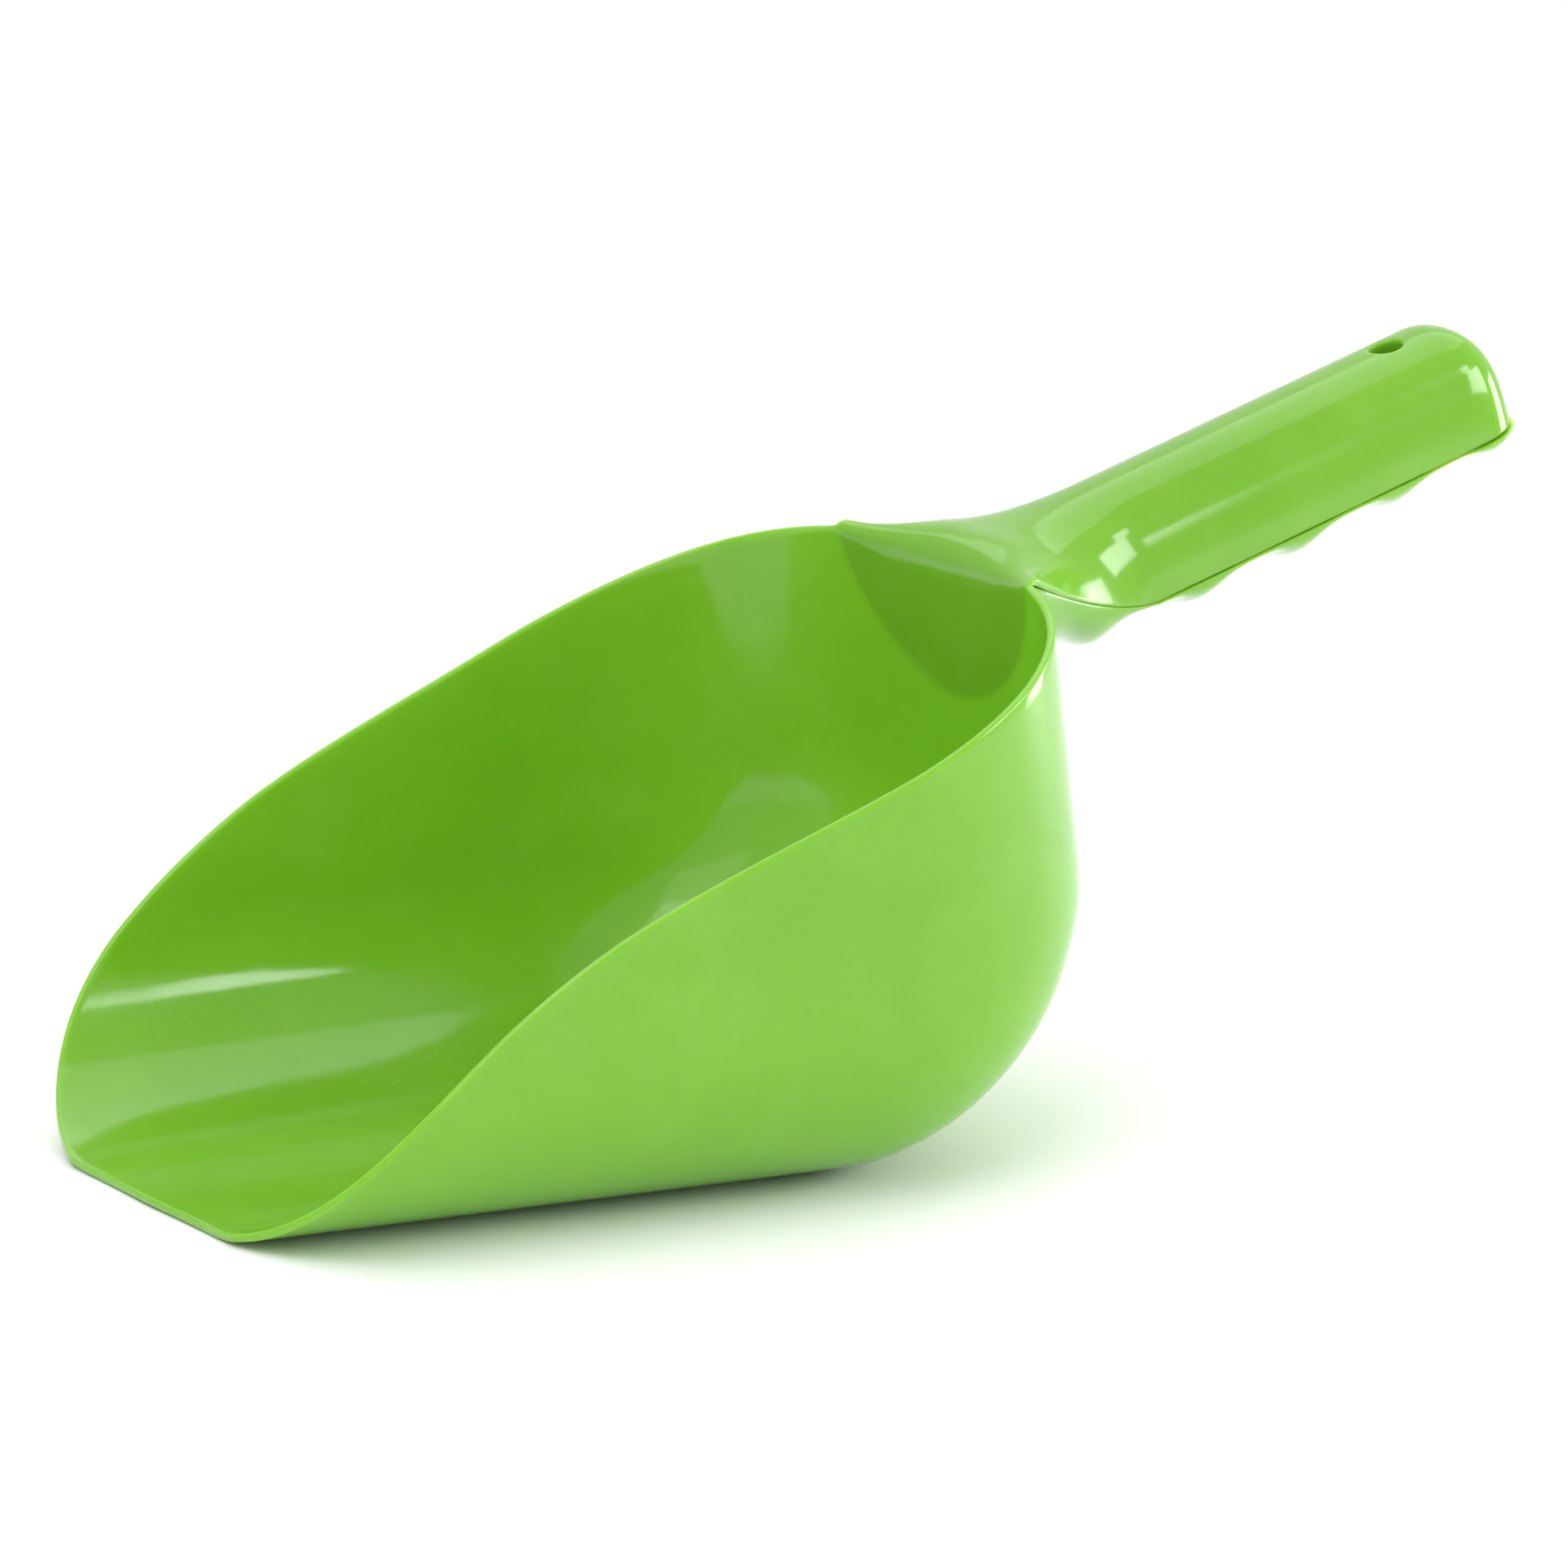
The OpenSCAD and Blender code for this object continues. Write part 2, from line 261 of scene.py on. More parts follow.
def side_half_w(x, z):
    f = np.clip(x / BACK_START, 0, 1)
    keel = mix(KEEL_FRONT_W, KEEL_BACK_W, f) / 2
    side = BOWL_W / 2 * (1 - LIP_TAPER * (1 - f))
    return mix(keel, side, curved_foot(z, SIDE_CURVE_H, 2)) + SIDE_DRAFT * z


def back_x(z):
    return BACK_START - BACK_LEAN * z


def back_len(z):
    return mix(BACK_FOOT, BACK_REACH, curved_foot(z, BACK_CURVE_H, BACK_CURVE_POWER))


def bowl_half_w(x, z):
    t = np.clip((x - back_x(z)) / back_len(z), 0, 1)
    return side_half_w(x, z) * (1 - t**BACK_POWER) ** (1 / BACK_POWER)


def back_wall_x(y, z):
    share = np.clip(1 - (np.abs(y) / side_half_w(BACK_START, z)) ** BACK_POWER, 0, 1)
    return back_x(z) + back_len(z) * share ** (1 / BACK_POWER)


def rim_points():
    """The rim from just behind the lip to the neck. The lip's own rounding takes the first stretch."""
    first = RIM_ROUND / (3 * RIM_A[1][0])
    front = bezier(RIM_A, np.linspace(first, 1, RIM_ROWS[0]))
    back = bezier(RIM_B, 1 - (1 - np.linspace(0, 1, RIM_ROWS[1])[1:]) ** RIM_PACKING)
    return np.vstack([front, back])


def bowl_half(rim):
    """Half a section of the bowl's outside, in a plane that fans about a line above the bowl."""
    way = np.array([0, -1.0]) if rim[0] <= FAN[0] else unit(rim - np.array(FAN))
    low, high = 0.0, rim[1] / -way[1]
    for _ in range(40):
        middle = (low + high) / 2
        x, z = rim + way * middle
        if x < back_x(z) + back_len(z):
            low = middle
        else:
            high = middle
    at = rim + np.outer(high * np.sin(np.linspace(0, math.pi / 2, DENSE)), way)
    at[:, 1] = np.maximum(at[:, 1], 0)
    points = np.c_[at[:, 0], -bowl_half_w(at[:, 0], at[:, 1]), at[:, 1]]
    return np.vstack([points, [points[-1, 0], 0, points[-1, 2]]])


# ---- The handle and the neck --------------------------------------------------------------------


def on_handle(s, y, n):
    """A point of the handle: distance along it, sideways, and above the seam."""
    return np.array([HANDLE_X, 0, HANDLE_Z]) + s * ALONG + np.array([0, y, 0]) + n * ABOVE


def seam_z(x):
    return HANDLE_Z + TAN_TILT * (x - HANDLE_X)


WALL_WAY = unit(np.array([-BACK_LEAN, 0, 1]))
CROWN_Z = INNER_H / math.cos(HANDLE_TILT) + HANDLE_Z
FOLD_Z = CROWN_Z + TAN_TILT * (NECK_LEVEL_X - HANDLE_X)
FOLD_CORNER = np.array([BACK_START + BACK_REACH - BACK_LEAN * FOLD_Z, 0, FOLD_Z])
FOLD_ANGLE = math.acos(WALL_WAY[0])
FOLD_START = FOLD_CORNER - WALL_WAY * FOLD_R * math.tan(FOLD_ANGLE / 2)
FOLD_END = FOLD_CORNER + np.array([FOLD_R * math.tan(FOLD_ANGLE / 2), 0, 0])
FOLD_CENTRE = FOLD_START + FOLD_R * np.array([WALL_WAY[2], 0, -WALL_WAY[0]])


def neck_centre(f):
    """The neck's centre line: up the bowl's back, over the fold, level a little, then along the crown."""
    if f < 0.5:
        a = 2 * f * FOLD_ANGLE
        v = FOLD_START - FOLD_CENTRE
        turned = [v[0] * math.cos(a) + v[2] * math.sin(a), 0, -v[0] * math.sin(a) + v[2] * math.cos(a)]
        return FOLD_CENTRE + np.array(turned)
    g = 2 * f - 1
    bend = np.array([NECK_LEVEL_X, 0, FOLD_Z])
    return mix(mix(FOLD_END, bend, g), mix(bend, on_handle(NECK_END_S, 0, INNER_H), g), g)


def neck_edge(f):
    x = mix(RIM_END[0], NECK_END_X, f**EDGE_SPEED)
    g = (NECK_END_X - x) / (NECK_END_X - RIM_END[0])
    w = mix(INNER_W, float(bowl_half_w(*RIM_END)), g**NECK_POWER)
    rise = (RIM_END[1] - seam_z(RIM_END[0])) * g**NECK_RISE_POWER
    return np.array([x, -w, seam_z(x) + rise])


def half_curve(edge, a, b, centre):
    return bezier(np.array([edge, edge + a, centre + b, centre]), np.linspace(0, 1, DENSE))


DOME_UP = DOME_FULLNESS * INNER_H * ABOVE
DOME_OUT = np.array([0, -DOME_FULLNESS * INNER_W, 0])


def neck_half(f):
    start = neck_edge(0)
    aim = np.array([FOLD_START[0], start[1] / 2, FOLD_START[2]])
    g = ease(f) ** NECK_TURN
    rise = mix((aim - start) * 2 / 3, DOME_UP, g)
    out = mix((aim - FOLD_START) * 2 / 3, DOME_OUT, g)
    return half_curve(neck_edge(f), rise, out, neck_centre(f))


def handle_half(s, c=1.0):
    return half_curve(on_handle(s, -INNER_W * c, 0), DOME_UP * c, DOME_OUT * c, on_handle(s, 0, INNER_H * c))


def butt_steps(rows):
    """How far along the rounded butt each row is, and how much it has shrunk there."""
    for a in np.linspace(0, math.pi / 2, rows + 1)[1:]:
        yield math.sin(a) ** (2 / BUTT_POWER), max(math.cos(a), 0) ** (2 / BUTT_POWER)


def normals(grid):
    du = np.gradient(grid, axis=0)
    dv = np.gradient(grid, axis=1)
    n = np.cross(du, dv)
    return n / np.maximum(np.linalg.norm(n, axis=2, keepdims=True), 1e-9)


def softened(grid, reach):
    """The grid with each line along the scoop averaged over a length, so that a crease becomes a curve."""
    offsets = np.linspace(-BLEND_SPAN, BLEND_SPAN, BLEND_SAMPLES)
    weights = np.exp(-(offsets**2) / 2)
    weights /= weights.sum()
    result = grid.copy()
    for j in range(grid.shape[1]):
        line = grid[:, j]
        lengths = np.r_[0, np.cumsum(np.linalg.norm(np.diff(line, axis=0), axis=1))]
        total = np.zeros_like(line)
        for offset, weight in zip(offsets, weights):
            at = lengths + offset * reach
            total += weight * np.stack([np.interp(at, lengths, line[:, k]) for k in range(3)], 1)
        result[:, j] = total
    return result


def soft_fold(under, first_neck_row):
    """Rounds the fold between the bowl and the neck, more in its middle than at its edges."""
    from_edge = np.cumsum(np.linalg.norm(np.diff(under[first_neck_row], axis=0), axis=1))
    from_edge = np.r_[0, from_edge]
    from_edge = np.minimum(from_edge, from_edge[::-1])
    middle = ease(from_edge / FOLD_SOFT_WIDTH)[None, :, None]
    blurred = mix(softened(under, FOLD_SOFT_EDGE), softened(under, FOLD_SOFT_MIDDLE), middle)
    rows = np.arange(len(under))
    before = ease((rows - (first_neck_row - FOLD_ROWS_BEFORE)) / FOLD_FADE_BEFORE)
    after = 1 - ease((rows - (first_neck_row + FOLD_ROWS_AFTER)) / FOLD_FADE_AFTER)
    return mix(under, blurred, (before * after)[:, None, None])


def body_skins():
    """The under and over skins of the whole moulding, the length that each row's edge rounding takes, and
    the distance along the handle of each row, which is negative before the handle."""
    under, rounds, along = [], [], []
    for rim in rim_points():
        under.append(spread(bowl_half(rim), HALF_CELLS, RIM_ROUND))
        rounds.append(RIM_ROUND)
        along.append(-1.0)
    first_neck_row = len(under) - 1
    for f in np.linspace(0, 1, NECK_ROWS + 1)[1:]:
        rounds.append(mix(RIM_ROUND, SEAM_ROUND, ease(f * NECK_EDGE_FADE)))
        under.append(spread(neck_half(f), HALF_CELLS, rounds[-1]))
        along.append(-1.0)
    for s in np.linspace(NECK_END_S, BUTT_S, HANDLE_ROWS + 1)[1:]:
        under.append(spread(handle_half(s), HALF_CELLS, SEAM_ROUND))
        rounds.append(SEAM_ROUND)
        along.append(s)
    for f, c in butt_steps(BUTT_ROWS):
        s = mix(BUTT_S, HANDLE_LEN - WALL, f)
        under.append(spread(handle_half(s, c), HALF_CELLS, SEAM_ROUND * c))
        rounds.append(SEAM_ROUND * c)
        along.append(s)
    under = soft_fold(np.array([whole(h) for h in under]), first_neck_row)
    over = under + WALL * normals(under)
    over[-1] = on_handle(HANDLE_LEN, 0, 0)
    return under, over, np.array(rounds), np.array(along), first_neck_row


# ---- The grip shell -----------------------------------------------------------------------------


def grip_depth(s):
    wave = (0.5 + 0.5 * np.cos(2 * math.pi * s / FINGER_PITCH)) ** GROOVE_POWER
    return mix(GROOVE_DEPTH, RIDGE_DEPTH, wave) + BELLY * np.sin(math.pi * np.clip(s / HANDLE_LEN, 0, 1))


def grip_inside(depth):
    return max(GRIP_THIN, depth - GRIP_WALL)


def proud(s):
    return mix(SIDE_LEDGE, LEDGE, ease((s - (BUTT_S - LEDGE_START)) / LEDGE_RUN))


def grip_curve(s, w, h):
    down = -GRIP_FULLNESS * h * ABOVE
    out = np.array([0, -GRIP_FULLNESS * w, 0])
    return half_curve(on_handle(s, -w, -SKIN_GAP), down, out, on_handle(s, 0, -SKIN_GAP - h))


def grip_neck_half(i, edge, inner):
    """Half a section of the shell under the neck, from the neck's own edge down to the ridge line."""
    f = i / GRIP_NECK_ROWS
    start_s = (float(back_wall_x(0, GRIP_FOOT_Z)) - HANDLE_X) / math.cos(HANDLE_TILT)
    s = mix(start_s, NECK_END_S, f**GRIP_PACKING)
    depth = grip_depth(s) + (1 - f) ** GRIP_FLARE_FADE * GRIP_FLARE
    low = on_handle(s, 0, -(grip_inside(depth) if inner else depth))
    if inner:
        edge = edge + np.array([0, WALL, 0])
    down = np.array([0, 0, -GRIP_FULLNESS * (edge[2] - low[2])])
    half = half_curve(edge, down, np.array([0, GRIP_FULLNESS * edge[1], 0]), low)
    if i == 0:
        half[:, 0] = back_wall_x(half[:, 1], half[:, 2]) + SKIN_GAP
    return half


def grip_skins(under, over, first_neck_row):
    """The shell's outer and inner skins, and each row's distance along the handle."""
    outer, inner, rounds, along = [], [], [], []
    for i in range(GRIP_NECK_ROWS + 1):
        f = i / GRIP_NECK_ROWS
        row = first_neck_row + f * NECK_ROWS
        low_row, share = int(row), row - int(row)
        next_row = min(low_row + 1, len(under) - 1)
        edge_under = mix(under[low_row, 0], under[next_row, 0], share)
        edge_over = mix(over[low_row, 0], over[next_row, 0], share)
        edge = mix(edge_under, edge_over, ease(f)) - (SKIN_GAP + SEAM_ROUND * 0.5) * ABOVE
        edge = edge - np.array([0, SIDE_LEDGE * ease(f * SIDE_LEDGE_FADE), 0])
        outer.append(spread(grip_neck_half(i, edge, False), GRIP_HALF_CELLS, SEAM_ROUND))
        inner.append(spread(grip_neck_half(i, edge, True), GRIP_HALF_CELLS, SEAM_ROUND))
        rounds.append(SEAM_ROUND)
        along.append(-1.0)
    for s in np.linspace(NECK_END_S, BUTT_S, HANDLE_ROWS * 2 + 1)[1:]:
        w = HANDLE_W / 2 + proud(s)
        h = grip_depth(s)
        outer.append(spread(grip_curve(s, w, h), GRIP_HALF_CELLS, SEAM_ROUND))
        inner.append(spread(grip_curve(s, w - WALL, grip_inside(h)), GRIP_HALF_CELLS, SEAM_ROUND))
        rounds.append(SEAM_ROUND)
        along.append(s)
    for f, c in butt_steps(BUTT_ROWS):
        s = mix(BUTT_S, HANDLE_LEN + LEDGE, f)
        s_in = mix(BUTT_S, HANDLE_LEN + LEDGE - WALL, f)
        w = HANDLE_W / 2 + LEDGE
        h = grip_depth(s)
        outer.append(spread(grip_curve(s, w * c, h * c), GRIP_HALF_CELLS, SEAM_ROUND * c))
        hollow = grip_curve(s_in, (w - WALL) * c, grip_inside(h) * c)
        inner.append(spread(hollow, GRIP_HALF_CELLS, SEAM_ROUND * c))
        rounds.append(SEAM_ROUND * c)
        along.append(s)
    outer = np.array([whole(h) for h in outer])
    inner = np.array([whole(h) for h in inner])
    return outer, inner, np.array(rounds), np.array(along)


# ---- Closed sheets with rounded edges -----------------------------------------------------------


class Sheet:
    """A closed solid between two skins of the same grid. Each row is a ring: the first skin, a rounded edge,
    the second skin and the other rounded edge."""

    def __init__(self, first, second, rounds):
        self.rows, self.cols = first.shape[:2]
        self.ring = 2 * (self.cols + EDGE_CELLS - 1)
        rings, mids = [], []
        for i in range(self.rows):
            a, b, middle = first[i], second[i], (first[i] + second[i]) / 2
            right, right_mid = self.edge_round(a[-1], b[-1], a[-1] - a[-2], rounds[i])
            left, left_mid = self.edge_round(b[0], a[0], a[0] - a[1], rounds[i])
            rings.append(np.vstack([a, right, b[::-1], left]))
            mids.append(np.vstack([middle, right_mid, middle[::-1], left_mid]))
        self.points = [p for ring in rings for p in ring]
        self.rings, self.mids = rings, mids
        self.faces = []
        self.holes = []

    @staticmethod
    def edge_round(start, end, outward, depth):
        """The points of a half round from one skin's edge to the other's."""
        outward = unit(outward)
        middle = (start + end) / 2
        angles = np.linspace(0, math.pi, EDGE_CELLS + 1)[1:-1, None]
        points = middle + np.cos(angles) * (start - middle) + np.sin(angles) * depth * outward
        return points, np.repeat(middle[None], len(points), 0)

    def vertex(self, i, k):
        return i * self.ring + k % self.ring

    def first_skin(self, i, j):
        return self.vertex(i, j)

    def second_skin(self, i, j):
        return self.vertex(i, self.cols + EDGE_CELLS - 1 + self.cols - 1 - j)

    def add(self, points):
        """Adds points and returns their numbers."""
        start = len(self.points)
        self.points.extend(points)
        return list(range(start, start + len(points)))

    def bridge(self, a, b):
        """Faces between two closed loops of the same length."""
        n = len(a)
        self.faces += [(a[k], a[(k + 1) % n], b[(k + 1) % n], b[k]) for k in range(n)]

    def skin_faces(self):
        """The faces between neighbouring rings, apart from those inside a hole's block."""
        cut = set()
        for rows, cols in self.holes:
            for i in range(rows[0], rows[1]):
                for j in range(cols[0], cols[1]):
                    cut.add((i, j))
                    cut.add((i, self.cols + EDGE_CELLS - 1 + self.cols - 2 - j))
        for i in range(self.rows - 1):
            for k in range(self.ring):
                if (i, k) not in cut:
                    near = (self.vertex(i, k), self.vertex(i, k + 1))
                    far = (self.vertex(i + 1, k + 1), self.vertex(i + 1, k))
                    self.faces.append(near + far)

    def round_front(self, depth):
        """Rounds the first row forward to its middle line, as on the lip."""
        ahead = np.array([unit(a - b) for a, b in zip(self.mids[0], self.mids[1])])
        last = [self.vertex(0, k) for k in range(self.ring)]
        for a in np.linspace(0, math.pi / 2, EDGE_CELLS // 2 + 1)[1:]:
            shrunk = self.mids[0] + (self.rings[0] - self.mids[0]) * math.cos(a) + ahead * depth * math.sin(a)
            now = self.add(list(shrunk))
            self.bridge(now, last)
            last = now

    def flat_front(self):
        """Closes the first row with a flat strip between its two skins."""
        for j in range(self.cols - 1):
            first = (self.first_skin(0, j + 1), self.first_skin(0, j))
            second = (self.second_skin(0, j), self.second_skin(0, j + 1))
            self.faces.append(first + second)
        right = [self.vertex(0, k) for k in range(self.cols - 1, self.cols + EDGE_CELLS)]
        left = [self.vertex(0, k) for k in range(2 * self.cols + EDGE_CELLS - 2, self.ring + 1)]
        self.faces += [tuple(right[::-1]), tuple(left[::-1])]

    def mesh(self, name):
        self.skin_faces()
        points = np.array(self.points)
        points[:, 0] += LIP_X
        data = bpy.data.meshes.new(name)
        data.from_pydata((points * MM).tolist(), [], self.faces)
        b = bmesh.new()
        b.from_mesh(data)
        bmesh.ops.remove_doubles(b, verts=b.verts, dist=2e-6)
        bmesh.ops.dissolve_degenerate(b, edges=b.edges, dist=1e-6)
        bmesh.ops.recalc_face_normals(b, faces=b.faces)
        b.to_mesh(data)
        b.free()
        data.polygons.foreach_set("use_smooth", [True] * len(data.polygons))
        piece = bpy.data.objects.new(name, data)
        bpy.context.scene.collection.objects.link(piece)
        return piece


# ---- The hang hole ------------------------------------------------------------------------------


def handle_place(p):
    """A point's distance along the handle, sideways, and above the seam."""
    d = np.asarray(p) - np.array([HANDLE_X, 0, HANDLE_Z])
    return np.array([d @ ALONG, d[1], d @ ABOVE])


def block_loop(rows, cols):
    """The grid positions round a block, in order."""
    (i0, i1), (j0, j1) = rows, cols
    loop = [(i0, j) for j in range(j0, j1)] + [(i, j1) for i in range(i0, i1)]
    return loop + [(i1, j) for j in range(j1, j0, -1)] + [(i, j0) for i in range(i1, i0, -1)]


def patch(sheet, loop, radius, height, rings=4):
    """Grid faces from a block's boundary in to a circle about the hang hole, on the skin that height gives.
    Returns the circle's vertices and their angles."""
    places = [handle_place(sheet.points[v]) for v in loop]
    angles = [math.atan2(p[1], p[0] - HANG_S) for p in places]
    last = loop
    for f in np.linspace(0, 1, rings + 1)[1:]:
        points = []
        for p, a in zip(places, angles):
            s = mix(p[0], HANG_S + radius * math.cos(a), ease(f) * 0.5 + f * 0.5)
            y = mix(p[1], radius * math.sin(a), ease(f) * 0.5 + f * 0.5)
            points.append(on_handle(s, y, height(s, y)))
        now = sheet.add(points)
        sheet.bridge(last, now)
        last = now
    return last, angles


def circle(sheet, angles, radius, height):
    """A ring of points about the hang hole at one height above the seam, or at each point's own height."""
    heights = height if callable(height) else lambda s, y: height
    at = [(HANG_S + radius * math.cos(a), radius * math.sin(a)) for a in angles]
    return sheet.add([on_handle(s, y, heights(s, y)) for s, y in at])


def rounded_mouth(sheet, last, angles, radius, height, edge, way):
    """Rounds a hole's mouth from the skin into the bore. way is -1 where the bore goes down."""
    for a in np.linspace(0, math.pi / 2, MOUTH_STEPS + 1)[1:]:
        r = radius + edge * (1 - math.sin(a))
        drop = edge * (1 - math.cos(a)) * way
        now = circle(sheet, angles, r, lambda s, y, drop=drop: height(s, y) + drop)
        sheet.bridge(last, now)
        last = now
    return last


def row_span(along, reach):
    rows = np.nonzero(np.abs(along - HANG_S) < reach)[0]
    return int(rows.min()), int(rows.max())


def section_height(points):
    """One row of a skin as distances from the middle and the heights above the seam there."""
    places = np.array([handle_place(p) for p in points])
    half = places[: len(places) // 2 + 1]
    return -half[::-1, 1], half[::-1, 2]


def add_body_hole(sheet, under, over, along):
    """The hang hole and the tube round it, from the dome down into the handle's hollow."""
    rows = row_span(along, BODY_HOLE_REACH)
    middle = sheet.cols // 2
    cols = (middle - BODY_HOLE_CELLS, middle + BODY_HOLE_CELLS)
    sheet.holes.append((rows, cols))
    order = block_loop(rows, cols)
    row = rows[0] + 2
    over_y, over_n = section_height(over[row])
    under_y, under_n = section_height(under[row])

    def top(s, y):
        return float(np.interp(abs(y), over_y, over_n))

    def ceiling(s, y):
        return float(np.interp(abs(y), under_y, under_n))

    last, angles = patch(sheet, [sheet.second_skin(*p) for p in order], HANG_D / 2 + HANG_EDGE, top)
    last = rounded_mouth(sheet, last, angles, HANG_D / 2, top, HANG_EDGE, -1)
    for radius, height in (
        (HANG_D / 2, TUBE_WAIST),
        (HANG_D / 2, -TUBE_LOW + TUBE_EDGE),
        (HANG_D / 2 + TUBE_EDGE, -TUBE_LOW),
        (HANG_TUBE_D / 2 - TUBE_EDGE, -TUBE_LOW),
        (HANG_TUBE_D / 2, -TUBE_LOW + TUBE_EDGE),
        (HANG_TUBE_D / 2, TUBE_WAIST),
        (HANG_TUBE_D / 2, ceiling),
    ):
        now = circle(sheet, angles, radius, height)
        sheet.bridge(last, now)
        last = now
    loop = [sheet.first_skin(*p) for p in order]
    outer, _ = patch(sheet, loop, HANG_TUBE_D / 2 + ROOF_GAP, ceiling, rings=2)
    sheet.bridge(last, outer)


def add_grip_hole(sheet, outer, inner, along):
    """The hole in the grip shell that the tube's end sits in."""
    rows = row_span(along, GRIP_HOLE_REACH)
    middle = sheet.cols // 2
    cols = (middle - GRIP_HOLE_CELLS, middle + GRIP_HOLE_CELLS)
    sheet.holes.append((rows, cols))
    order = block_loop(rows, cols)
    radius = HANG_TUBE_D / 2 + TUBE_GAP
    spots = [section_height(r) for r in outer]
    inner_y, inner_n = section_height(inner[rows[0] + 3])

    def low(s, y):
        row = np.interp(s, along[GRIP_NECK_ROWS + 1 :], np.arange(GRIP_NECK_ROWS + 1, len(along)))
        a, b = spots[int(row)], spots[min(int(row) + 1, len(spots) - 1)]
        return float(mix(np.interp(abs(y), *a), np.interp(abs(y), *b), row - int(row)))

    def roof(s, y):
        return float(np.interp(abs(y), inner_y, inner_n))

    last, angles = patch(sheet, [sheet.first_skin(*p) for p in order], radius + GRIP_MOUTH_W, low)
    last = rounded_mouth(sheet, last, angles, radius, low, GRIP_HOLE_EDGE, 1)
    above = circle(sheet, angles, radius, roof)
    sheet.bridge(last, above)
    wide, _ = patch(sheet, [sheet.second_skin(*p) for p in order], radius + ROOF_GAP, roof, rings=2)
    sheet.bridge(above, wide)


# ---- Pieces -------------------------------------------------------------------------------------


def make_body():
    under, over, rounds, along, first_neck_row = body_skins()
    sheet = Sheet(under, over, rounds)
    sheet.round_front(RIM_ROUND)
    add_body_hole(sheet, under, over, along)
    piece = sheet.mesh("scoop_moulding")
    return piece, under, over, first_neck_row


def make_grip(under, over, first_neck_row):
    outer, inner, rounds, along = grip_skins(under, over, first_neck_row)
    sheet = Sheet(outer, inner, rounds)
    sheet.flat_front()
    add_grip_hole(sheet, outer, inner, along)
    return sheet.mesh("grip_shell")


# ---- Materials ----------------------------------------------------------------------------------


def linear(rgb):
    """An sRGB colour given as 0 to 255, as linear values with alpha."""
    return tuple((c / 255 / 12.92) if c < 10.3 else ((c / 255 + 0.055) / 1.055) ** 2.4 for c in rgb) + (1.0,)


class Nodes:
    """Short ways to build a node tree."""

    def __init__(self, material):
        material.use_nodes = True
        self.tree = material.node_tree
        self.tree.nodes.clear()

    def new(self, kind, **values):
        node = self.tree.nodes.new(kind)
        for key, value in values.items():
            setattr(node, key, value)
        return node

    def link(self, a, b):
        self.tree.links.new(a, b)

    def noise(self, place, scale, detail=2.0, stretch=(1, 1, 1), turn=(0, 0, 0)):
        mapping = self.new("ShaderNodeMapping")
        mapping.inputs["Scale"].default_value = stretch
        mapping.inputs["Rotation"].default_value = turn
        self.link(place, mapping.inputs["Vector"])
        noise = self.new("ShaderNodeTexNoise")
        noise.inputs["Scale"].default_value = scale
        noise.inputs["Detail"].default_value = detail
        noise.inputs["Roughness"].default_value = 0.5
        self.link(mapping.outputs["Vector"], noise.inputs["Vector"])
        return noise.outputs["Fac"]

    def ramp(self, value, low, high, out_low=0.0, out_high=1.0):
        node = self.new("ShaderNodeMapRange", clamp=True)
        limits = {"From Min": low, "From Max": high, "To Min": out_low, "To Max": out_high}
        for name, number in limits.items():
            node.inputs[name].default_value = number
        self.link(value, node.inputs["Value"])
        return node.outputs["Result"]

    def mix(self, share, a, b):
        node = self.new("ShaderNodeMix", data_type="RGBA")
        for socket, value in ((node.inputs[0], share), (node.inputs[6], a), (node.inputs[7], b)):
            if isinstance(value, (tuple, float)):
                socket.default_value = value
            else:
                self.link(value, socket)
        return node.outputs[2]

    def math(self, operation, a, b):
        node = self.new("ShaderNodeMath", operation=operation)
        for socket, value in ((node.inputs[0], a), (node.inputs[1], b)):
            if isinstance(value, float):
                socket.default_value = value
            else:
                self.link(value, socket)
        return node.outputs[0]

    def bump(self, height, strength, distance, normal=None):
        node = self.new("ShaderNodeBump")
        node.inputs["Strength"].default_value = strength
        node.inputs["Distance"].default_value = distance
        self.link(height, node.inputs["Height"])
        if normal is not None:
            self.link(normal, node.inputs["Normal"])
        return node.outputs["Normal"]


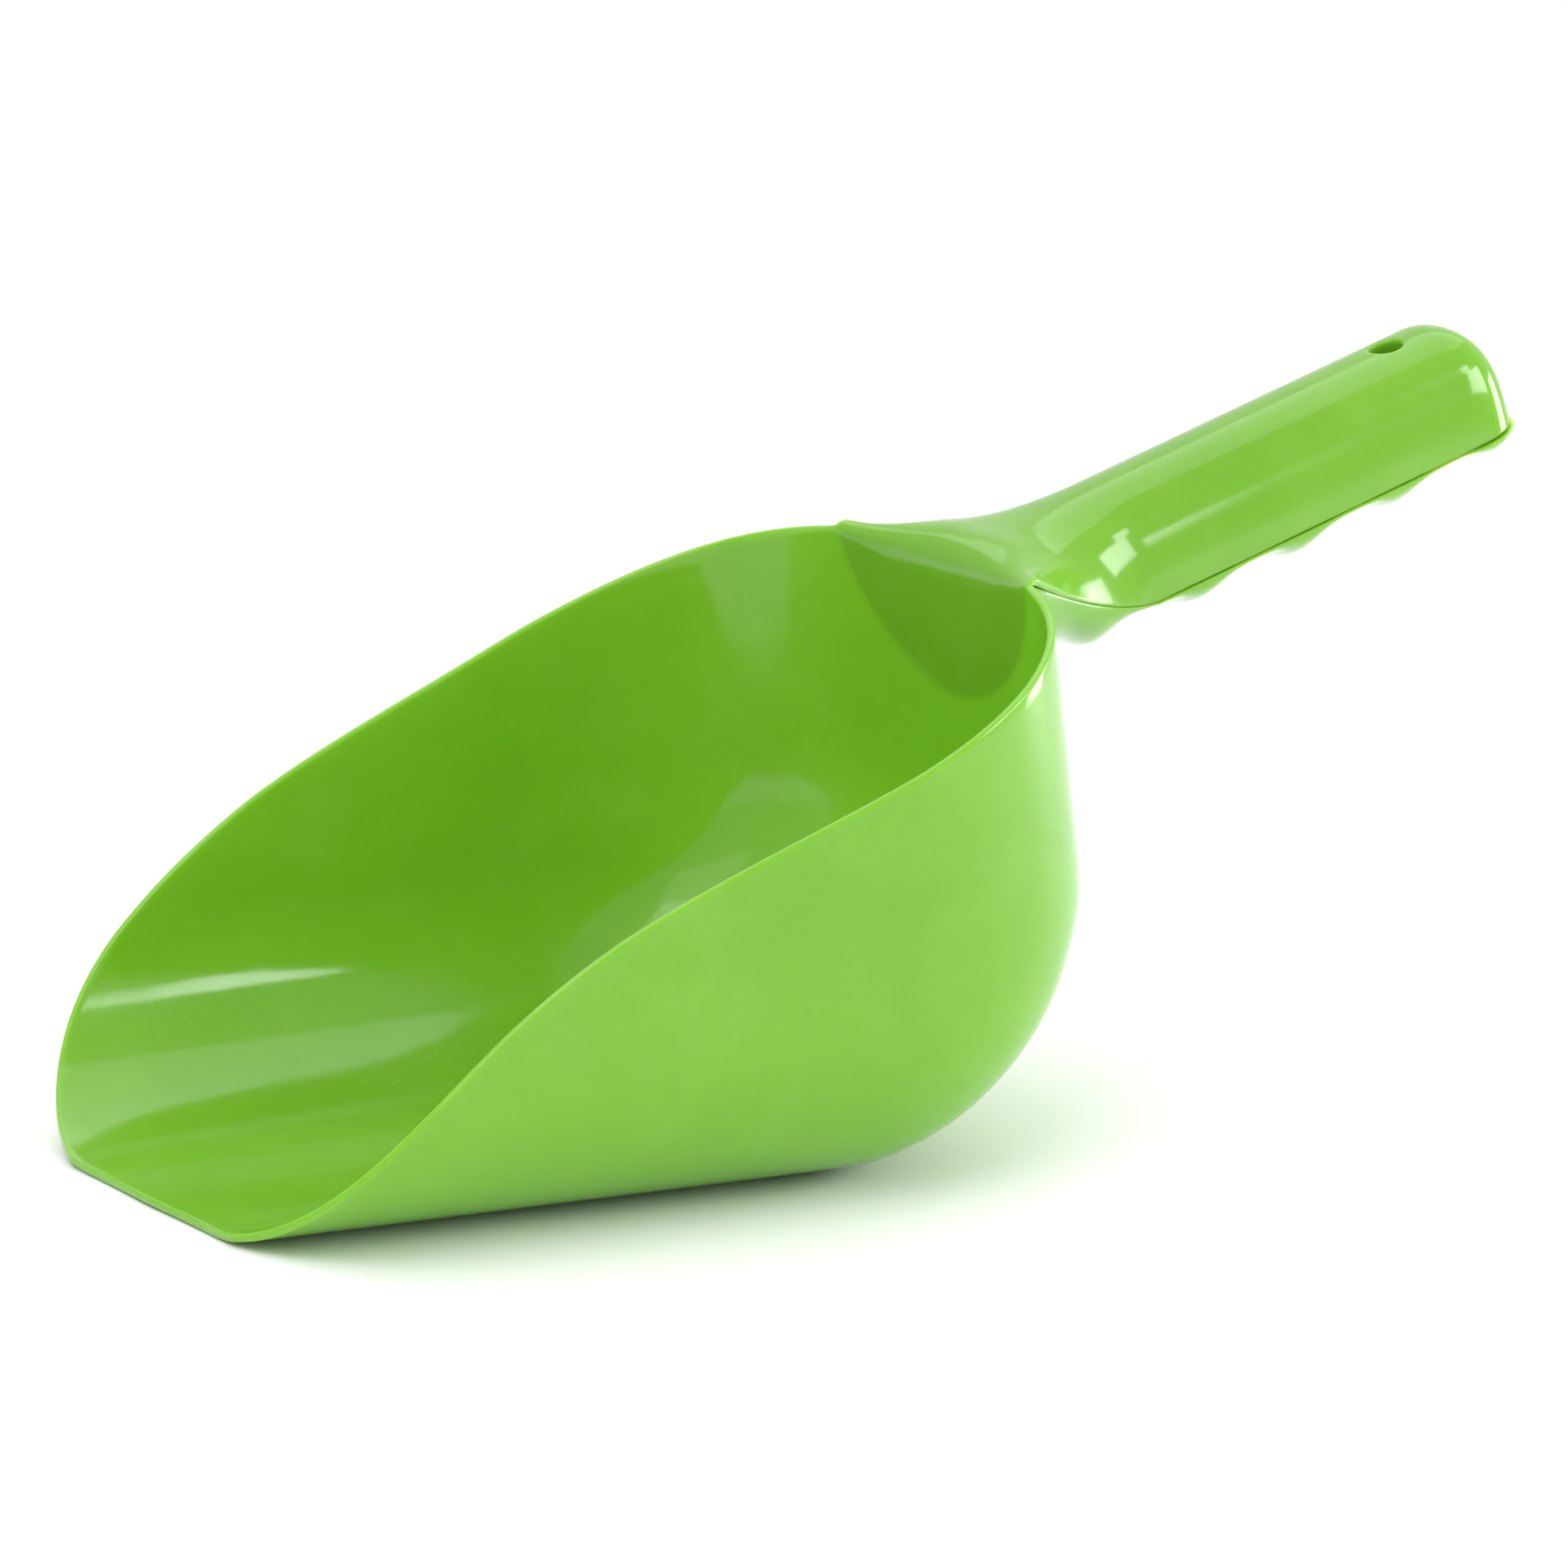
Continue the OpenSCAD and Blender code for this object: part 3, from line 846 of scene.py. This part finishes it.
def lime_plastic(name, base, deep, pale):
    """Glossy, slightly translucent polypropylene: flow marks in the colour, orange peel and fine scuffs."""
    material = bpy.data.materials.new(name)
    n = Nodes(material)
    place = n.new("ShaderNodeTexCoord").outputs["Object"]
    shader = n.new("ShaderNodeBsdfPrincipled")
    out = n.new("ShaderNodeOutputMaterial")
    n.link(shader.outputs["BSDF"], out.inputs["Surface"])

    flow = n.noise(place, 22, detail=4, stretch=(0.5, 1.6, 1.6))
    cloud = n.noise(place, 60, detail=3)
    speck = n.noise(place, 1500, detail=1)
    colour = n.mix(n.ramp(flow, 0.3, 0.7), linear(deep), linear(base))
    colour = n.mix(n.ramp(cloud, 0.45, 0.75, 0.0, 0.22), colour, linear(pale))
    colour = n.mix(n.ramp(speck, 0.35, 0.65, 0.0, 0.10), colour, linear(pale))

    scratch_a = n.noise(place, 900, detail=1, stretch=(0.04, 1, 1), turn=(0.2, 0.5, 0.3))
    scratch_b = n.noise(place, 1100, detail=1, stretch=(1, 0.05, 1), turn=(0.4, 0.1, 0.9))
    where = n.ramp(n.noise(place, 35, detail=3), 0.5, 0.7)
    scuff = n.math("MULTIPLY", n.ramp(n.math("MAXIMUM", scratch_a, scratch_b), 0.70, 0.76), where)
    colour = n.mix(n.math("MULTIPLY", scuff, 0.25), colour, linear(pale))
    n.link(colour, shader.inputs["Base Color"])

    peel = n.noise(place, 420, detail=2)
    haze = n.noise(place, 45, detail=4)
    rough = n.ramp(haze, 0.3, 0.75, 0.09, 0.16)
    rough = n.math("ADD", rough, n.math("MULTIPLY", scuff, 0.25))
    n.link(rough, shader.inputs["Roughness"])
    sink = n.bump(n.noise(place, 38, detail=2), 0.2, 0.0005)
    skin = n.bump(peel, 0.14, 0.0001, sink)
    fine = n.bump(speck, 0.05, 0.00003, skin)
    n.link(n.bump(scuff, 0.2, 0.00002, fine), shader.inputs["Normal"])

    shader.inputs["IOR"].default_value = 1.49
    shader.inputs["Subsurface Weight"].default_value = 0.6
    shader.inputs["Subsurface Radius"].default_value = (1.0, 1.0, 0.7)
    shader.inputs["Subsurface Scale"].default_value = 0.006
    return material


def floor_material():
    material = bpy.data.materials.new("pale_floor")
    n = Nodes(material)
    place = n.new("ShaderNodeTexCoord").outputs["Object"]
    shader = n.new("ShaderNodeBsdfPrincipled")
    out = n.new("ShaderNodeOutputMaterial")
    n.link(shader.outputs["BSDF"], out.inputs["Surface"])
    colour = n.mix(n.noise(place, 3), (0.93, 0.93, 0.93, 1), (0.96, 0.96, 0.96, 1))
    n.link(colour, shader.inputs["Base Color"])
    shader.inputs["Roughness"].default_value = 0.7
    return material


# ---- Stage, light and camera --------------------------------------------------------------------


def make_floor():
    """A pale floor that curves up far behind the scoop."""
    bend_start = FLOOR_BACK - FLOOR_BEND
    profile = [(FLOOR_FRONT, 0.0), (bend_start, 0.0)]
    for a in np.linspace(0, math.pi / 2, 17)[1:]:
        profile.append((bend_start + FLOOR_BEND * math.sin(a), FLOOR_BEND * (1 - math.cos(a))))
    profile.append((FLOOR_BACK, FLOOR_HIGH))
    points = [(x, y, z) for y, z in profile for x in (-FLOOR_HALF_W, FLOOR_HALF_W)]
    faces = [(2 * k, 2 * k + 1, 2 * k + 3, 2 * k + 2) for k in range(len(profile) - 1)]
    data = bpy.data.meshes.new("floor")
    data.from_pydata(points, [], faces)
    data.polygons.foreach_set("use_smooth", [True] * len(faces))
    data.materials.append(floor_material())
    floor = bpy.data.objects.new("floor", data)
    floor.rotation_euler.z = -math.radians(CAMERA_AZIMUTH)
    floor.location.z = cad_low.z - FLOOR_DROP
    bpy.context.scene.collection.objects.link(floor)


def soft_box(name, place, size, power):
    """A rectangular soft light at a place, aimed at the scoop."""
    light = bpy.data.lights.new(name, "AREA")
    light.shape = "RECTANGLE"
    light.size, light.size_y = size
    light.energy = power
    lamp = bpy.data.objects.new(name, light)
    lamp.location = place
    lamp.rotation_euler = (Vector(LIGHT_AIM) - Vector(place)).to_track_quat("-Z", "Y").to_euler()
    bpy.context.scene.collection.objects.link(lamp)


def view_axes():
    """The camera's right, up and backward directions, before its roll."""
    az, el = math.radians(CAMERA_AZIMUTH), math.radians(CAMERA_ELEVATION)
    back = Vector((-math.sin(az) * math.cos(el), -math.cos(az) * math.cos(el), math.sin(el)))
    right = Vector((math.cos(az), -math.sin(az), 0))
    return right, back.cross(right), back


def make_camera():
    right, up, back = view_axes()
    roll = math.radians(CAMERA_ROLL)
    x_axis = right * math.cos(roll) + up * math.sin(roll)
    y_axis = up * math.cos(roll) - right * math.sin(roll)
    target = Vector((CAMERA_TARGET[0] + LIP_X, CAMERA_TARGET[1], CAMERA_TARGET[2])) * MM
    data = bpy.data.cameras.new("camera")
    data.sensor_width = SENSOR_W
    data.lens = SENSOR_W * FOCAL_SHARE
    camera = bpy.data.objects.new("camera", data)
    place = target + back * CAMERA_DISTANCE * MM
    turn = Matrix((x_axis, y_axis, back)).transposed().to_4x4()
    camera.matrix_world = Matrix.Translation(place) @ turn
    bpy.context.scene.collection.objects.link(camera)
    bpy.context.scene.camera = camera


def toward(azimuth, elevation, distance):
    """A place seen from the scoop at an azimuth, 0 towards -Y and 90 towards +X, and an elevation."""
    a, e = math.radians(azimuth), math.radians(elevation)
    return Vector((math.sin(a) * math.cos(e), -math.cos(a) * math.cos(e), math.sin(e))) * distance


def make_lights():
    """A pale room and the soft boxes in it."""
    world = bpy.data.worlds.new("studio")
    world.use_nodes = True
    background = world.node_tree.nodes["Background"]
    background.inputs["Color"].default_value = (1, 1, 1, 1)
    background.inputs["Strength"].default_value = WORLD_STRENGTH
    bpy.context.scene.world = world
    for name, azimuth, elevation, distance, size, power in LIGHTS:
        soft_box(name, toward(azimuth, elevation, distance), size, power)


# ---- The scene ----------------------------------------------------------------------------------

bpy.context.scene.view_settings.view_transform = "Standard"
make_camera()
make_lights()
make_floor()

body, under_skin, over_skin, neck_row = make_body()
body.data.materials.append(lime_plastic("lime_body", (114, 175, 38), (108, 168, 33), (134, 184, 68)))
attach(body, "root")
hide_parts("scoop_body")

grip = make_grip(under_skin, over_skin, neck_row)
grip.data.materials.append(lime_plastic("lime_grip", (110, 171, 36), (104, 163, 31), (130, 181, 65)))
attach(grip, "root")
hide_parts("grip_underside")
